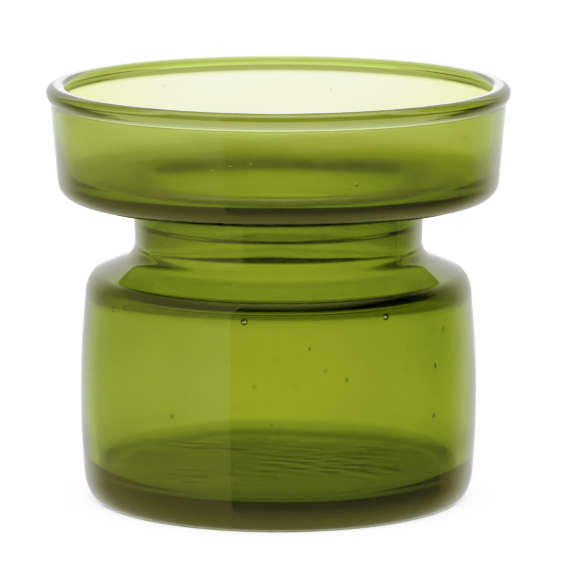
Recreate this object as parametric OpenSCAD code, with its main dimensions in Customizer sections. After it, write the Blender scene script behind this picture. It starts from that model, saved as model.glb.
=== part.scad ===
// Waisted glass posy vessel: an open dish and a water reservoir joined by a narrow open neck.
// One piece of moulded glass, turned about the Z axis. The base rests on the plane Z = 0.
// Every length is in millimetres.

/* [Overall] */
// Outer radius of the rolled rim, the widest part of the vessel
rim_r = 45.0; // [44.8:0.1:47]
// Height from the resting face to the top of the rim
total_h = 80.8; // [80.6:0.1:84]

/* [Reservoir] */
// Outer radius of the reservoir just above its rounded heel
heel_r = 37.7; // [37:0.1:38.6]
// Radius that the slightly barrelled reservoir wall leans out to
barrel_r = 39.2; // [38.6:0.1:40]
// Height of the widest point of the reservoir
barrel_z = 21.0; // [18:0.5:24]
// Outer radius of the reservoir where the shoulder turns in
shoulder_r = 37.35; // [36.8:0.05:38]
// Height of the shoulder's outer corner
shoulder_z = 43.6; // [43:0.1:44.2]
// Thickness of the reservoir's wall
wall_t = 2.8; // [2.5:0.1:3.3]
// Thickness of the glass at the shoulder's outer corner, measured straight up
shoulder_t = 2.8; // [2.4:0.1:3.2]
// Thickness of the glass under the reservoir
base_t = 5.3; // [4.5:0.1:6.5]

/* [Neck] */
// Outer radius of the neck at its foot
neck_r = 27.9; // [27.6:0.1:28.1]
// Height at which the shoulder meets the neck
neck_z = 47.6; // [47.2:0.1:48]
// Radius of the throat, where the dish opens into the neck
throat_r = 24.1; // [23.8:0.1:24.3]
// Height of the small step at which the throat widens to the bore
step_z = 54.0; // [53.6:0.1:54.5]
// Radius of the bore below the step
bore_r = 24.9; // [24.7:0.1:25.1]
// Height at which the bore would meet the slope under the shoulder, before rounding
bore_foot_z = 45.8; // [45.4:0.1:46.2]

/* [Dish] */
// Height of the dish's underside
dish_z = 58.7; // [58.5:0.1:59.5]
// Thickness of the glass in the dish's floor
floor_t = 3.3; // [3:0.1:4]
// Outer radius of the dish just above its underside
dish_foot_r = 42.6; // [42.2:0.1:43]
// Outer radius of the dish wall just below the rim
dish_top_r = 44.15; // [43.8:0.05:44.4]
// Thickness of the dish wall at its foot
dish_foot_t = 2.4; // [2.2:0.1:3]
// Thickness of the dish wall just below the rim
dish_top_t = 2.0; // [1.8:0.1:2.4]
// Width of the rim across its top
rim_w = 3.9; // [3.6:0.1:4.2]
// Height of the rolled rim's outer face
rim_h = 2.2; // [2:0.1:2.6]
// Height of the lip inside the rim
lip_h = 1.5; // [1.4:0.1:2.0]

/* [Hidden] */
$fn = 180;
arc_steps = 8;

// Colour of the solid glass: olive green, seen through two walls
glass_green = [0.53, 0.60, 0.12];

// Setbacks of the rounded corners: how far before and after each corner the rounding reaches
heel_round = [2.1, 5.0];
barrel_round = [12, 12];
barrel_inner_round = [10, 8];
shoulder_round = [2.9, 2.0];
neck_foot_round = [2.5, 2.6];
neck_top_round = [3.0, 1.2];
dish_heel_round = [3.2, 3.3];
bead_round = [0.5, 0.5];
rim_round = [1.5, 1.8];
rim_inner_round = [1.8, 1.0];
lip_round = [0.3, 0.4];
lip_foot_round = [0.6, 1.2];
dish_inner_round = [2.8, 2.8];
throat_round = [3.8, 4.8];
step_round = [0.3, 0.3];
bore_foot_round = [2.2, 4.8];
shoulder_inner_round = [1.3, 2.0];
floor_inner_round = [3.2, 2.4];
sharp = [0, 0];

// The neck opens very slightly upwards
neck_flare = 0.3;
// Height of the slope that joins the rim, or its lip, to the dish wall
rim_slope_h = 1.2;
// Height of the step's own slope
step_h = 0.7;

bead_z = total_h - rim_h;
lip_z = total_h - lip_h;
dish_floor_z = dish_z + floor_t;

// The section's corners are [radius, height, rounding]; the line runs up the outside and down the inside
section = [
    [0, 0, sharp],
    [heel_r, 0, heel_round],
    [barrel_r, barrel_z, barrel_round],
    [shoulder_r, shoulder_z, shoulder_round],
    [neck_r, neck_z, neck_foot_round],
    [neck_r + neck_flare, dish_z, neck_top_round],
    [dish_foot_r, dish_z, dish_heel_round],
    [dish_top_r, bead_z - rim_slope_h, bead_round],
    [rim_r, bead_z, bead_round],
    [rim_r, total_h, rim_round],
    [rim_r - rim_w, total_h, rim_inner_round],
    [rim_r - rim_w, lip_z, lip_round],
    [dish_top_r - dish_top_t, lip_z - rim_slope_h, lip_foot_round],
    [dish_foot_r - dish_foot_t, dish_floor_z, dish_inner_round],
    [throat_r, dish_floor_z, throat_round],
    [throat_r, step_z, step_round],
    [bore_r, step_z - step_h, step_round],
    [bore_r, bore_foot_z, bore_foot_round],
    [shoulder_r - wall_t, shoulder_z - shoulder_t, shoulder_inner_round],
    [barrel_r - wall_t, barrel_z, barrel_inner_round],
    [heel_r - wall_t, base_t, floor_inner_round],
    [0, base_t, sharp]
];

function xy(c) = [c[0], c[1]];
function unit(v) = v / norm(v);

// Points of the rounding at corner c between its neighbours p and n: an elliptical arc that
// leaves the first side and joins the second one smoothly
function rounded(p, c, n) =
    let (into = unit(xy(c) - xy(p)), away = unit(xy(n) - xy(c)))
    c[2] == sharp ? [xy(c)] :
    [for (i = [0 : arc_steps])
        let (t = 90 * i / arc_steps)
        xy(c) - c[2][0] * (1 - sin(t)) * into + c[2][1] * (1 - cos(t)) * away];

function outline(s) = [
    for (i = [0 : len(s) - 1])
        each rounded(s[max(i - 1, 0)], s[i], s[min(i + 1, len(s) - 1)])
];

module glass_vessel() {
    color(glass_green)
    rotate_extrude()
    polygon(outline(section));
}

glass_vessel();
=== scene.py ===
"""A waisted posy vessel of moulded olive-green glass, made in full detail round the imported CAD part."""
import math
import random

import bpy
import numpy as np
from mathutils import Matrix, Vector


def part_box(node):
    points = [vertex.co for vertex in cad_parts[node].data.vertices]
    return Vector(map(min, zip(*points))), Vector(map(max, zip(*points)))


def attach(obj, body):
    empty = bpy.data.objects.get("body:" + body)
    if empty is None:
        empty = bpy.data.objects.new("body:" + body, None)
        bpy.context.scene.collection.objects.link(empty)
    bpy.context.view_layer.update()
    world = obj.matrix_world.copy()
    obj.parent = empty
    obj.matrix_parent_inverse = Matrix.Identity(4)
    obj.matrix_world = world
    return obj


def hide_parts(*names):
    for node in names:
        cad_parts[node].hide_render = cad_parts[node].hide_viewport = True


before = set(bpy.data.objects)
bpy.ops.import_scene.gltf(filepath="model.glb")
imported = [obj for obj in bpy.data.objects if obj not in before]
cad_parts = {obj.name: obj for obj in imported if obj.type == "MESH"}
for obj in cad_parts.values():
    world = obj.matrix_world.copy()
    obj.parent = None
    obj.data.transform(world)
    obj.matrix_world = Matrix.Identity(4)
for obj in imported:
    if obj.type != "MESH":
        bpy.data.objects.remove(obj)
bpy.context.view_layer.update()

MM = 0.001
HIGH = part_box("glass_vessel")[1]

# ---------------------------------------------------------------- the section, in millimetres
RIM_R = HIGH.x / MM
TOTAL_H = HIGH.z / MM
HEEL_R = 37.7
BARREL_R, BARREL_Z = 39.2, 21.0
SHOULDER_R, SHOULDER_Z = 37.35, 43.6
NECK_R, NECK_FLARE, NECK_Z = 27.9, 0.3, 47.6
DISH_Z, DISH_FOOT_R, DISH_TOP_R = 58.7, 42.6, 44.15
RIM_SLOPE_OUT = 1.2
RIM_H, RIM_W, LIP_H, RIM_SLOPE_H = 2.2, 3.9, 1.4, 0.6
DISH_TOP_T, DISH_FOOT_T, FLOOR_T = 1.89, 2.37, 2.89
DISH_MID_Z, DISH_MID_THIN = 69.5, 0.21
FLOOR_MID_R, FLOOR_CROWN = 32.0, 0.81
THROAT_R, THROAT_RISE = 24.1, 0.3
STEP_Z, STEP_H, STEP_R = 54.0, 0.7, 24.5
BORE_R, BORE_FOOT_Z = 25.4, 45.82
WALL_T, SHOULDER_WALL_T, SHOULDER_T = 2.85, 2.73, 2.8
FLOOR_R, BASE_T = 35.1, 5.31

# Setbacks of each corner's rounding, before and after the corner
SHARP = (0.0, 0.0)
HEEL_ROUND = (2.1, 5.0)
BARREL_ROUND = (12.0, 12.0)
BARREL_INNER_ROUND = (10.0, 8.0)
SHOULDER_ROUND = (2.9, 2.0)
NECK_FOOT_ROUND = (2.5, 2.6)
NECK_TOP_ROUND = (3.0, 1.0)
DISH_HEEL_ROUND = (3.2, 3.3)
BEAD_ROUND = (0.5, 0.5)
RIM_ROUND = (1.5, 1.8)
RIM_INNER_ROUND = (2.1, 1.1)
LIP_ROUND = (0.25, 0.4)
LIP_FOOT_ROUND = (0.5, 1.2)
DISH_MID_ROUND = (2.2, 2.2)
DISH_FOOT_ROUND = (3.2, 2.5)
FLOOR_MID_ROUND = (2.5, 2.5)
THROAT_ROUND = (2.9, 5.5)
STEP_ROUND = (0.15, 0.15)
BORE_FOOT_ROUND = (2.3, 4.7)
UNDER_SHOULDER_ROUND = (1.3, 2.4)
FLOOR_ROUND = (3.2, 2.4)

# ---------------------------------------------------------------- glass
GLASS_IOR = 1.52
# Light lost for each metre of glass: red, green and blue
ABSORPTION_PER_M = (450.0, 400.0, 720.0)
DEEPEST_TINT = 0.98
# Roughness inside the dish, and the bump of the skin all over
HAZE, HAZE_SCALE = 0.166, 90.0
SKIN_SCALE, SKIN_STRENGTH, SKIN_DEPTH = 160.0, 0.25, 0.00002

# ---------------------------------------------------------------- light
# Strengths of the backdrop: its middle, its sides and its lowest part
BACKDROP_LIGHT, BACKDROP_SIDES, BACKDROP_LOW = 5.0, 9.4, 3.91
# Strengths of the rest of the room
ROOM_LIGHT, CEILING_LIGHT = 2.8, 2.07
SIDE_LIGHT, FRONT_LIGHT, LEFT_LIGHT = 1.67, 0.01, 0.95
FLOOR_GLOW, FLOOR_SHINE, FLOOR_WHITE, PAPER_WHITE = 5.0, 1.6, 0.8, 2.52
# Where one light fades into the next, in degrees from the back or above the horizon:
# first as rays through the glass see them, and then as mirrored rays do
BACKDROP_FADE, BACKDROP_LOW_FADE = (6.0, 34.0), (-22.0, -12.0)
LENS_BACKDROP, LENS_CEILING = (94.2, 114.2), (-9.2, 14.8)
MIRROR_BACKDROP, FRONT_FADE = (-3.0, 7.0), (30.0, 77.0)
MIRROR_CEILING, MIRROR_FLOOR = (39.4, 69.4), (-55.9, 1.1)
LEFT_FADE, LEFT_EDGE, EDGE_BLUR = (30.0, 80.0), 152.0, 0.6
# Half the floor's width, and its gap below the base, in metres
FLOOR_REACH, FLOOR_GAP = 6.0, 0.0002
GLASS_BOUNCES, MIRROR_BOUNCES = 32, 16

# ---------------------------------------------------------------- tone: light in, light shown
# The blue curve acts first, on the light itself, and the tone curve then acts on all three colours
TONE_WHITE, TONE_KNEE = 8.0, 0.3
TONE_CURVE = [(0.0, 0.0), (0.05, 0.07), (0.3, 0.306), (0.6, 0.5), (1.0, 0.79),
              (1.5, 0.9), (2.5, 0.99), (4.5, 1.0), (8.0, 1.0)]
BLUE_CURVE = [(0.0, 0.0), (0.02, 0.008), (0.065, 0.011), (0.24, 0.12),
              (0.5, 0.43), (0.8, 0.82), (8.0, 8.0)]

# ---------------------------------------------------------------- camera
# Places in metres, the dip in degrees, the lens in millimetres
CAMERA_AWAY, CAMERA_HEIGHT, CAMERA_DIP = 0.9953, 0.2106, 9.784
SENSOR_WIDTH, LENS_LENGTH, FAR_CLIP = 36.0, 324.3, 50.0
LENS_SHIFT = (0.0165, 0.0141)

# ---------------------------------------------------------------- mesh detail
SEGMENTS = 204
ARC_STEPS = 10
MAX_STEP = 0.95
FRONT = -90.0

# ---------------------------------------------------------------- flaws
# Sizes in millimetres, and the seam's angles in degrees
WAVE_COUNT, WAVE_INSIDE, WAVE_OUTSIDE = 14, 0.012, 0.003
RIPPLE_COUNT, RIPPLE_SIZE, RIPPLE_MARGIN = 9, 0.014, 4.0
SEAM_AZIMUTH, SEAM_WIDTH = 54.0, 0.55
SEAM_ON_BODY, SEAM_ON_NECK = 0.008, 0.022
SEAM_CLEARANCE = 0.8
SEAM_OFFSETS = (-1.4, -1.0, -0.7, -0.4, 0.0, 0.4, 0.7, 1.0, 1.4)
SEED_SIDES, FINE_SEEDS = 12, 46
# Seeds are drawn out along the wall, so they are thinner through it than across it
SEED_THIN = 0.55


def outer_corners():
    """Corners of the outside, from the middle of the base up to the rim: radius, height, rounding."""
    bead_z = TOTAL_H - RIM_H
    return [
        (0.0, 0.0, SHARP),
        (HEEL_R, 0.0, HEEL_ROUND),
        (BARREL_R, BARREL_Z, BARREL_ROUND),
        (SHOULDER_R, SHOULDER_Z, SHOULDER_ROUND),
        (NECK_R, NECK_Z, NECK_FOOT_ROUND),
        (NECK_R + NECK_FLARE, DISH_Z, NECK_TOP_ROUND),
        (DISH_FOOT_R, DISH_Z, DISH_HEEL_ROUND),
        (DISH_TOP_R, bead_z - RIM_SLOPE_OUT, BEAD_ROUND),
        (RIM_R, bead_z, BEAD_ROUND),
        (RIM_R, TOTAL_H, RIM_ROUND),
    ]


def inner_corners():
    """Corners of the inside, from the rim down to the middle of the reservoir's floor."""
    lip_z = TOTAL_H - LIP_H
    top_r, top_z = DISH_TOP_R - DISH_TOP_T, lip_z - RIM_SLOPE_H
    foot_r, foot_z = DISH_FOOT_R - DISH_FOOT_T, DISH_Z + FLOOR_T
    mid_r = foot_r + (top_r - foot_r) * (DISH_MID_Z - foot_z) / (top_z - foot_z)
    return [
        (RIM_R - RIM_W, TOTAL_H, RIM_INNER_ROUND),
        (RIM_R - RIM_W, lip_z, LIP_ROUND),
        (top_r, top_z, LIP_FOOT_ROUND),
        (mid_r + DISH_MID_THIN, DISH_MID_Z, DISH_MID_ROUND),
        (foot_r, foot_z, DISH_FOOT_ROUND),
        (FLOOR_MID_R, foot_z + FLOOR_CROWN, FLOOR_MID_ROUND),
        (THROAT_R, foot_z + THROAT_RISE, THROAT_ROUND),
        (THROAT_R, STEP_Z, STEP_ROUND),
        (STEP_R, STEP_Z - STEP_H, STEP_ROUND),
        (BORE_R, BORE_FOOT_Z, BORE_FOOT_ROUND),
        (SHOULDER_R - SHOULDER_WALL_T, SHOULDER_Z - SHOULDER_T, UNDER_SHOULDER_ROUND),
        (BARREL_R - WALL_T, BARREL_Z, BARREL_INNER_ROUND),
        (FLOOR_R, BASE_T, FLOOR_ROUND),
        (0.0, BASE_T, SHARP),
    ]


def rounded(before, corner, after):
    """Points of the elliptical arc that rounds one corner."""
    place = np.array(corner[:2])
    if corner[2] == SHARP:
        return [place]
    into = place - np.array(before[:2])
    away = np.array(after[:2]) - place
    into = into / np.linalg.norm(into) * corner[2][0]
    away = away / np.linalg.norm(away) * corner[2][1]
    turns = np.linspace(0, math.pi / 2, ARC_STEPS + 1)
    return [place - into * (1 - math.sin(t)) + away * (1 - math.cos(t)) for t in turns]


def outline(corners):
    """The rounded half section as rows of radius and height, with no step longer than MAX_STEP."""
    last = len(corners) - 1
    rough = []
    for i, corner in enumerate(corners):
        rough += rounded(corners[max(i - 1, 0)], corner, corners[min(i + 1, last)])
    fine = [rough[0]]
    for a, b in zip(rough[:-1], rough[1:]):
        steps = math.ceil(np.linalg.norm(b - a) / MAX_STEP)
        fine += [a + (b - a) * k / steps for k in range(1, steps + 1)]
    return np.array(fine)


def section():
    """The whole section, up the outside and down the inside, and which of its rows are inside."""
    rows = outline(outer_corners() + inner_corners())
    return rows, np.arange(len(rows)) > np.argmax(rows[:, 1])


def outer_radius(z):
    """Radius of the outside at height z."""
    rows, inside = section()
    return float(np.interp(z, rows[~inside, 1], rows[~inside, 0]))


# ---------------------------------------------------------------- how real glass departs from the section
def bump(x, width):
    """A smooth hump of height 1 at x = 0."""
    return np.exp(-(x / width) ** 2)


def step_up(x, low, high):
    """0 below low, 1 above high, smooth between."""
    t = np.clip((x - low) / (high - low), 0, 1)
    return t * t * (3 - 2 * t)


def waviness(r, z, angle, inside):
    """Slow swells left by the mould outside, and stronger ones left by the blown air inside."""
    chance = random.Random(11)
    total = np.zeros((len(r), len(angle)))
    for _ in range(WAVE_COUNT):
        lobes = chance.randint(2, 9)
        wave = 2 * math.pi / chance.uniform(14, 40)
        phase, turn = chance.uniform(0, 6.28), chance.uniform(0, 6.28)
        along = np.sin(wave * (z + 0.4 * r) + turn)
        total += along * np.cos(lobes * angle + phase)
    return total * np.where(inside, WAVE_INSIDE, WAVE_OUTSIDE)


def chill_ripples(x, y):
    """Wrinkles on the floor of the reservoir, where the gob of glass first met the cold mould."""
    chance = random.Random(23)
    total = np.zeros_like(x)
    for _ in range(RIPPLE_COUNT):
        heading = chance.gauss(0.35, 0.55)
        wave = 2 * math.pi / chance.uniform(2.4, 6.0)
        phase = chance.uniform(0, 6.28)
        bend = 1.1 * np.sin(0.16 * x + phase) + 0.8 * np.sin(0.21 * y + 2 * phase)
        total += np.sin(wave * (y * math.cos(heading) + x * math.sin(heading)) + bend + phase)
    patches = 0.5 + 0.5 * np.sin(0.11 * x + 0.7) * np.cos(0.13 * y - 0.4)
    return RIPPLE_SIZE * total * patches


def seam(z, angle):
    """The fine ridge where the two halves of the mould met."""
    around = np.zeros_like(angle)
    for side in (0, math.pi):
        off = (angle - math.radians(FRONT + SEAM_AZIMUTH) - side + math.pi) % (2 * math.pi) - math.pi
        around += bump(np.degrees(off), SEAM_WIDTH)
    strength = SEAM_ON_BODY + SEAM_ON_NECK * step_up(z, 47, 50) * (1 - step_up(z, 56, 59))
    return strength * (step_up(z, 2, 6) * (1 - step_up(z, 76, 78))) * around


# ---------------------------------------------------------------- the mesh
def ring_angles():
    """Even angles round the axis, with closer ones across each mould seam."""
    even = np.arange(SEGMENTS) * 2 * math.pi / SEGMENTS
    extra = []
    for side in (0, 180):
        middle = FRONT + SEAM_AZIMUTH + side
        extra += [math.radians(middle + offset) % (2 * math.pi) for offset in SEAM_OFFSETS]
    near = [any(abs(a - e) < math.radians(SEAM_CLEARANCE) for e in extra) for a in even]
    return np.sort(np.concatenate([even[~np.array(near)], extra]))


def turned_surface():
    """Vertices and faces of the whole vessel, turned from its section and then given its flaws."""
    rows, inside = section()
    inside = inside[:, None]
    angle = ring_angles()
    r, z = rows[:, :1], rows[:, 1:]
    along = np.gradient(rows, axis=0)
    along /= np.linalg.norm(along, axis=1, keepdims=True)
    out_r, out_z = along[:, 1:], -along[:, :1]

    off = waviness(r, z, angle, inside)
    off *= step_up(z, 1, 6) * (1 - step_up(z, TOTAL_H - 6, TOTAL_H - 3)) * step_up(r, 10, 20)
    off += np.where(inside, 0, seam(z, angle))
    x, y = r * np.cos(angle), r * np.sin(angle)
    in_floor = inside & (z < BASE_T + 0.5) & (r < FLOOR_R)
    calmer_edge = 1 - step_up(r, FLOOR_R - RIPPLE_MARGIN, FLOOR_R)
    off += np.where(in_floor, chill_ripples(x, y) * calmer_edge, 0)
    x = (r + off * out_r) * np.cos(angle)
    y = (r + off * out_r) * np.sin(angle)
    height = z + off * out_z

    rings = slice(1, -1)
    verts = np.stack([x[rings], y[rings], height[rings]], axis=-1).reshape(-1, 3).tolist()
    around = len(angle)
    last_ring = (len(rows) - 3) * around
    bottom, floor_middle = len(verts), len(verts) + 1
    verts += [[0, 0, rows[0][1]], [0, 0, float(height[-2].mean())]]
    faces = []
    for k in range(around):
        n = (k + 1) % around
        faces.append((bottom, n, k))
        faces.append((last_ring + k, last_ring + n, floor_middle))
        for a in range(0, last_ring, around):
            faces.append((a + k, a + n, a + around + n, a + around + k))
    return verts, faces


def bubble(azimuth, height, depth, width, stretch, sides=SEED_SIDES):
    """Vertices and faces of a bubble in the wall. Its faces look inwards, away from the glass."""
    turn = math.radians(FRONT + azimuth)
    outward = np.array([math.cos(turn), math.sin(turn), 0])
    sideways = np.array([-math.sin(turn), math.cos(turn), 0])
    middle = outward * (outer_radius(height) - depth) + np.array([0, 0, height])
    half = width / 2
    rows = sides // 2
    verts = [middle + np.array([0, 0, half * stretch])]
    for i in range(1, rows):
        tilt = math.pi * i / rows
        for k in range(sides):
            a = 2 * math.pi * k / sides
            flat = math.sin(tilt) * (outward * math.cos(a) * SEED_THIN + sideways * math.sin(a)) * half
            verts.append(middle + flat + np.array([0, 0, half * stretch * math.cos(tilt)]))
    verts.append(middle - np.array([0, 0, half * stretch]))
    faces = []
    for k in range(sides):
        n = (k + 1) % sides
        faces.append((0, 1 + n, 1 + k))
        for i in range(rows - 2):
            a = 1 + i * sides
            faces.append((a + k, a + n, a + sides + n, a + sides + k))
        a = 1 + (rows - 2) * sides
        faces.append((a + k, a + n, len(verts) - 1))
    return [list(v) for v in verts], faces


# Seeds big enough to notice: azimuth from the front in degrees, height, depth, width and stretch
SEEDS = [
    (-10, 40.3, 0.85, 1.40, 0.90), (33, 40.3, 0.85, 1.40, 0.90), (-58, 39.7, 1.20, 1.10, 1.00),
    (-52, 40.5, 1.30, 0.94, 1.00), (9, 35.2, 1.40, 0.61, 1.00), (20, 29.0, 1.50, 0.68, 1.20),
    (-2, 21.0, 1.40, 0.68, 1.00), (-32, 21.5, 1.30, 0.81, 1.10), (-7, 28.0, 1.60, 0.54, 1.00),
    (5, 28.0, 1.60, 0.47, 1.00), (52, 29.5, 1.30, 0.81, 1.20), (51, 20.0, 1.30, 0.88, 1.00),
    (57, 36.0, 1.20, 0.74, 1.30), (50, 14.5, 1.50, 0.68, 1.00), (41, 34.0, 1.40, 0.54, 1.00),
    (10, 68.0, 1.10, 0.54, 1.00), (20, 67.0, 1.10, 0.74, 1.20), (18, 66.4, 1.10, 0.61, 1.00),
    (-17, 69.7, 1.00, 1.00, 0.30), (-14, 70.3, 1.00, 0.81, 0.30), (-12, 70.6, 1.00, 1.10, 0.30),
    (-7, 71.2, 1.00, 1.10, 0.25), (-10, 72.6, 1.00, 0.68, 0.50),
]


def all_seeds():
    """The noticeable seeds and a scatter of finer ones through the walls."""
    chance = random.Random(5)
    fine = []
    for _ in range(FINE_SEEDS):
        height = chance.choice([chance.uniform(8, 41), chance.uniform(8, 41), chance.uniform(65, 76)])
        fine.append((chance.uniform(-180, 180), height, chance.uniform(0.8, 1.6),
                     chance.uniform(0.28, 0.5), chance.uniform(0.9, 1.6)))
    return SEEDS + fine


def glass_body():
    """The vessel: one closed mesh of glass with its trapped seeds."""
    verts, faces = turned_surface()
    for seed in all_seeds():
        more_verts, more_faces = bubble(*seed)
        first = len(verts)
        verts += more_verts
        faces += [tuple(first + i for i in face) for face in more_faces]
    mesh = bpy.data.meshes.new("vessel_glass")
    mesh.from_pydata((np.array(verts) * MM).tolist(), [], faces)
    mesh.validate()
    mesh.shade_smooth()
    piece = bpy.data.objects.new("vessel_glass", mesh)
    bpy.context.scene.collection.objects.link(piece)
    return piece


# ---------------------------------------------------------------- node helpers
def link_or_set(tree, socket, value):
    """Links a node's output to a socket, or sets the socket to a plain number."""
    if isinstance(value, (int, float)):
        socket.default_value = value
    else:
        tree.links.new(value, socket)


def math_node(tree, operation, *values):
    node = tree.nodes.new("ShaderNodeMath")
    node.operation = operation
    for socket, value in zip(node.inputs, values):
        link_or_set(tree, socket, value)
    return node.outputs[0]


def rise(tree, value, low, high):
    """0 below low and 1 above high, smooth between."""
    node = tree.nodes.new("ShaderNodeMapRange")
    node.interpolation_type = "SMOOTHSTEP"
    link_or_set(tree, node.inputs["Value"], value)
    node.inputs["From Min"].default_value = low
    node.inputs["From Max"].default_value = high
    return node.outputs[0]


def fall(tree, value, low, high):
    return math_node(tree, "SUBTRACT", 1.0, rise(tree, value, low, high))


def blend(tree, factor, a, b):
    """a where factor is 0 and b where it is 1."""
    change = math_node(tree, "SUBTRACT", b, a)
    return math_node(tree, "ADD", a, math_node(tree, "MULTIPLY", factor, change))


def noise(tree, where, scale, detail):
    node = tree.nodes.new("ShaderNodeTexNoise")
    node.inputs["Scale"].default_value = scale
    node.inputs["Detail"].default_value = detail
    tree.links.new(where, node.inputs["Vector"])
    return node.outputs["Fac"]


# ---------------------------------------------------------------- materials
def dish_haze(tree, place):
    """Roughness of the glass: clear, but dulled by water on the inside of the dish."""
    split = tree.nodes.new("ShaderNodeSeparateXYZ")
    tree.links.new(place, split.inputs[0])
    x, y, z = split.outputs
    across = math_node(tree, "SQRT", math_node(tree, "ADD", math_node(tree, "MULTIPLY", x, x),
                                               math_node(tree, "MULTIPLY", y, y)))
    foot_r, top_r = (DISH_FOOT_R - DISH_FOOT_T / 2) * MM, (DISH_TOP_R - DISH_TOP_T / 2) * MM
    foot_z, top_z = (DISH_Z + FLOOR_T / 2) * MM, (TOTAL_H - RIM_H) * MM
    lean = (top_r - foot_r) / (top_z - foot_z)
    wall_r = math_node(tree, "ADD", foot_r, math_node(tree, "MULTIPLY", lean,
                                                      math_node(tree, "SUBTRACT", z, foot_z)))
    within = math_node(tree, "LESS_THAN", across, wall_r)
    above = math_node(tree, "GREATER_THAN", z, foot_z)
    below = math_node(tree, "LESS_THAN", z, top_z)
    in_dish = math_node(tree, "MULTIPLY", within, math_node(tree, "MULTIPLY", above, below))
    patches = math_node(tree, "MULTIPLY", 0.8, noise(tree, place, HAZE_SCALE, 2.0))
    cloud = math_node(tree, "ADD", 0.6, patches)
    return math_node(tree, "MULTIPLY", in_dish, math_node(tree, "MULTIPLY", cloud, HAZE))


def green_glass():
    """Olive-green glass: its colour is the light lost on the way through, so thick parts are darker."""
    material = bpy.data.materials.new("green_glass")
    material.use_nodes = True
    tree = material.node_tree
    nodes, links = tree.nodes, tree.links
    shader = nodes["Principled BSDF"]
    shader.inputs["Base Color"].default_value = (1, 1, 1, 1)
    shader.inputs["IOR"].default_value = GLASS_IOR
    shader.inputs["Transmission Weight"].default_value = 1.0
    place = nodes.new("ShaderNodeTexCoord").outputs["Object"]
    links.new(dish_haze(tree, place), shader.inputs["Roughness"])

    relief = nodes.new("ShaderNodeBump")
    relief.inputs["Strength"].default_value = SKIN_STRENGTH
    relief.inputs["Distance"].default_value = SKIN_DEPTH
    links.new(noise(tree, place, SKIN_SCALE, 3.0), relief.inputs["Height"])
    links.new(relief.outputs["Normal"], shader.inputs["Normal"])

    tint = nodes.new("ShaderNodeVolumeAbsorption")
    density = max(ABSORPTION_PER_M) / DEEPEST_TINT
    tint.inputs["Density"].default_value = density
    tint.inputs["Color"].default_value = tuple(1 - a / density for a in ABSORPTION_PER_M) + (1,)
    links.new(tint.outputs["Volume"], nodes["Material Output"].inputs["Volume"])
    return material


def pale_floor():
    material = bpy.data.materials.new("pale_floor")
    material.use_nodes = True
    shader = material.node_tree.nodes["Principled BSDF"]
    shader.inputs["Base Color"].default_value = (FLOOR_WHITE, FLOOR_WHITE, FLOOR_WHITE, 1)
    shader.inputs["Roughness"].default_value = 1.0
    shader.inputs["Specular IOR Level"].default_value = 0.0
    return material


# ---------------------------------------------------------------- surroundings
def studio():
    """A white room: a bright backdrop, a soft light on the left, a dark front and a dim ceiling.

    Mirrored rays see the lights as shapes. Rays through the glass see the backdrop. The floor is lit
    evenly, and the camera sees plain white paper.
    """
    room = bpy.data.worlds.new("studio")
    bpy.context.scene.world = room
    room.use_nodes = True
    tree = room.node_tree
    nodes, links = tree.nodes, tree.links
    nodes.clear()
    out = nodes.new("ShaderNodeOutputWorld")
    light = nodes.new("ShaderNodeBackground")
    links.new(light.outputs[0], out.inputs["Surface"])
    split = nodes.new("ShaderNodeSeparateXYZ")
    links.new(nodes.new("ShaderNodeTexCoord").outputs["Generated"], split.inputs[0])
    x, y, z = split.outputs
    elevation = math_node(tree, "DEGREES", math_node(tree, "ARCSINE", z))
    leftward = math_node(tree, "MULTIPLY", x, -1.0)
    azimuth = math_node(tree, "DEGREES", math_node(tree, "ARCTAN2", leftward, y))
    from_back = math_node(tree, "ABSOLUTE", azimuth)

    mirrored = blend(tree, rise(tree, from_back, *FRONT_FADE), SIDE_LIGHT, FRONT_LIGHT)
    soft_light = math_node(tree, "MULTIPLY", rise(tree, azimuth, *LEFT_FADE),
                           fall(tree, azimuth, LEFT_EDGE - EDGE_BLUR, LEFT_EDGE + EDGE_BLUR))
    mirrored = blend(tree, soft_light, mirrored, LEFT_LIGHT)
    mirrored = blend(tree, fall(tree, from_back, *MIRROR_BACKDROP), mirrored, BACKDROP_LIGHT)
    mirrored = blend(tree, rise(tree, elevation, *MIRROR_CEILING), mirrored, CEILING_LIGHT)
    mirrored = blend(tree, fall(tree, elevation, *MIRROR_FLOOR), mirrored, FLOOR_SHINE)

    backdrop = blend(tree, rise(tree, from_back, *BACKDROP_FADE), BACKDROP_LIGHT, BACKDROP_SIDES)
    backdrop = blend(tree, fall(tree, elevation, *BACKDROP_LOW_FADE), backdrop, BACKDROP_LOW)
    through = blend(tree, fall(tree, from_back, *LENS_BACKDROP), ROOM_LIGHT, backdrop)
    through = blend(tree, rise(tree, elevation, *LENS_CEILING), through, CEILING_LIGHT)

    ray = nodes.new("ShaderNodeLightPath")
    seen = blend(tree, ray.outputs["Is Camera Ray"], FLOOR_GLOW / FLOOR_WHITE, PAPER_WHITE)
    seen = blend(tree, ray.outputs["Is Glossy Ray"], seen, mirrored)
    seen = blend(tree, ray.outputs["Is Transmission Ray"], seen, through)
    links.new(seen, light.inputs["Strength"])
    return room


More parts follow.
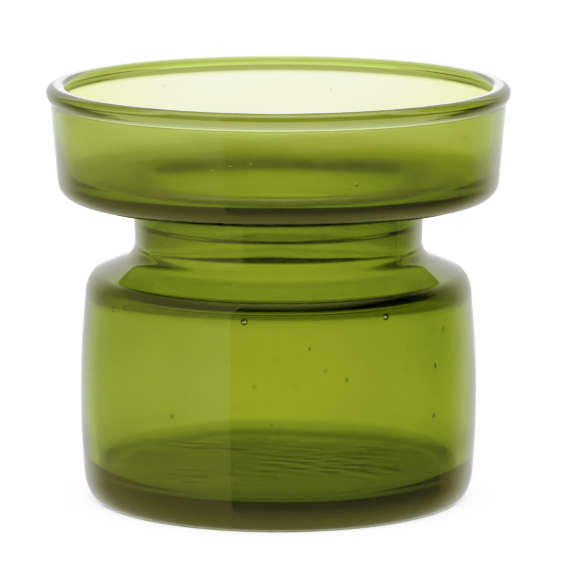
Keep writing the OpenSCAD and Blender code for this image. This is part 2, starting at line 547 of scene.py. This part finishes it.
def floor():
    """A plain pale floor. Rays through the glass see the backdrop in its place."""
    corners = [(-FLOOR_REACH, -FLOOR_REACH, 0), (FLOOR_REACH, -FLOOR_REACH, 0),
               (FLOOR_REACH, FLOOR_REACH, 0), (-FLOOR_REACH, FLOOR_REACH, 0)]
    mesh = bpy.data.meshes.new("floor")
    mesh.from_pydata(corners, [], [(0, 1, 2, 3)])
    mesh.materials.append(pale_floor())
    piece = bpy.data.objects.new("floor", mesh)
    piece.location.z = -FLOOR_GAP
    piece.visible_glossy = False
    piece.visible_transmission = False
    bpy.context.scene.collection.objects.link(piece)
    return piece


def camera():
    """Looks slightly down at the vessel from the front."""
    lens = bpy.data.cameras.new("camera")
    lens.sensor_width = SENSOR_WIDTH
    lens.lens = LENS_LENGTH
    lens.shift_x, lens.shift_y = LENS_SHIFT
    lens.clip_end = FAR_CLIP
    piece = bpy.data.objects.new("camera", lens)
    piece.location = (0, -CAMERA_AWAY, CAMERA_HEIGHT)
    piece.rotation_euler = (math.radians(90 - CAMERA_DIP), 0, 0)
    bpy.context.scene.collection.objects.link(piece)
    bpy.context.scene.camera = piece


def set_curve(curve, points, knee):
    """Straight up to the knee, and smooth past it."""
    while len(curve.points) < len(points):
        curve.points.new(0.5, 0.5)
    for point, place in zip(curve.points, points):
        point.location = place
        point.handle_type = "VECTOR" if place[0] < knee else "AUTO_CLAMPED"


def exposure():
    """A plain display transform whose highlights roll off gently, as a camera's do."""
    view = bpy.context.scene.view_settings
    view.view_transform = "Standard"
    view.use_curve_mapping = True
    mapping = view.curve_mapping
    mapping.white_level = (TONE_WHITE, TONE_WHITE, TONE_WHITE)
    set_curve(mapping.curves[3], [(light / TONE_WHITE, shown) for light, shown in TONE_CURVE],
              TONE_KNEE / TONE_WHITE)
    set_curve(mapping.curves[2], [(light / TONE_WHITE, kept / TONE_WHITE) for light, kept in BLUE_CURVE],
              TONE_WHITE)
    mapping.update()


vessel = glass_body()
vessel.data.materials.append(green_glass())
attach(vessel, "root")
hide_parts("glass_vessel")
studio()
floor()
camera()
exposure()
scene = bpy.context.scene
scene.cycles.max_bounces = GLASS_BOUNCES
scene.cycles.transmission_bounces = GLASS_BOUNCES
scene.cycles.glossy_bounces = MIRROR_BOUNCES
